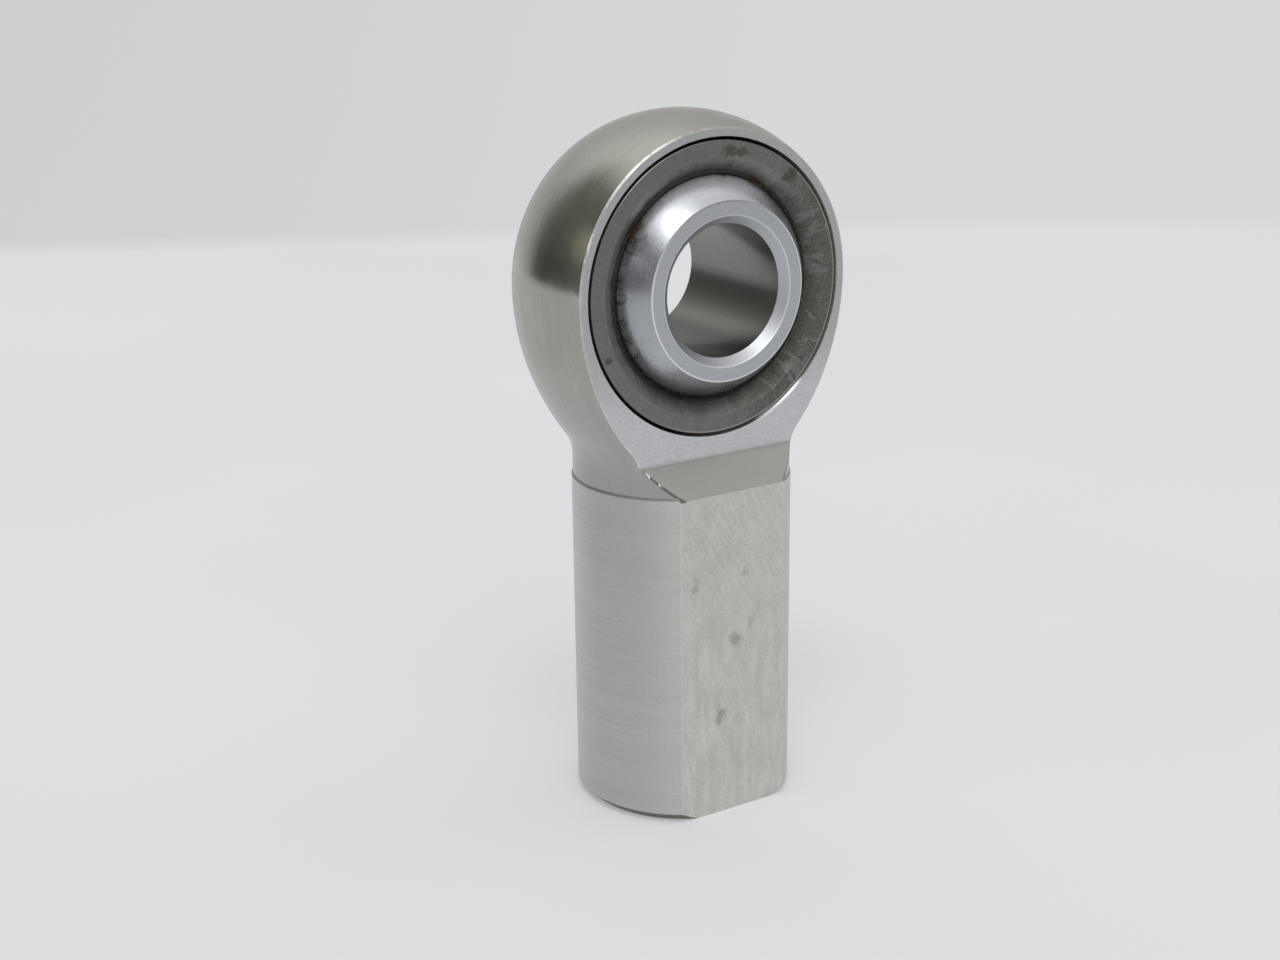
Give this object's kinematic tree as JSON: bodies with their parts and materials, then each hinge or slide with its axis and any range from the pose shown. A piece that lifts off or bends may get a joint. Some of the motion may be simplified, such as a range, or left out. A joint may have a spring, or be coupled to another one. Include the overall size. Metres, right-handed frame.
{
  "type": "rod end bearing",
  "caption": "Female spherical rod end: lined ball in a swaged race, in a round head on an internally threaded shank with two wrench flats.",
  "frame": {"origin": "centre of the ball, where the bore axis crosses the shank axis", "axes": "+Z from the shank's end towards the top of the head, +Y along the bore, +X to the right, seen from the front (-Y)"},
  "size_m": [0.0286, 0.0158, 0.0603],
  "materials": {
    "body_steel": "satin turned and milled stainless steel",
    "race_steel": "dark turned steel with handling stains",
    "liner_fabric": "woven dark liner, frayed at its edge",
    "ball_steel": "fine polished hardened stainless steel"
  },
  "bodies": {
    "housing": {"rod_end_body": "body_steel", "outer_race": "race_steel"},
    "swivel_stage": {"ptfe_liner": "liner_fabric"},
    "ball": {"ball": "ball_steel"}
  },
  "joints": [
    {"name": "ball_swivel", "type": "hinge", "parent": "housing", "child": "swivel_stage", "pos_m": [0, 0, 0], "axis": [0, 1, 0], "continuous": true},
    {"name": "ball_tilt", "type": "hinge", "parent": "swivel_stage", "child": "ball", "pos_m": [0, 0, 0], "axis": [0, 0, 1], "range_deg": [-11, 11]}
  ]
}
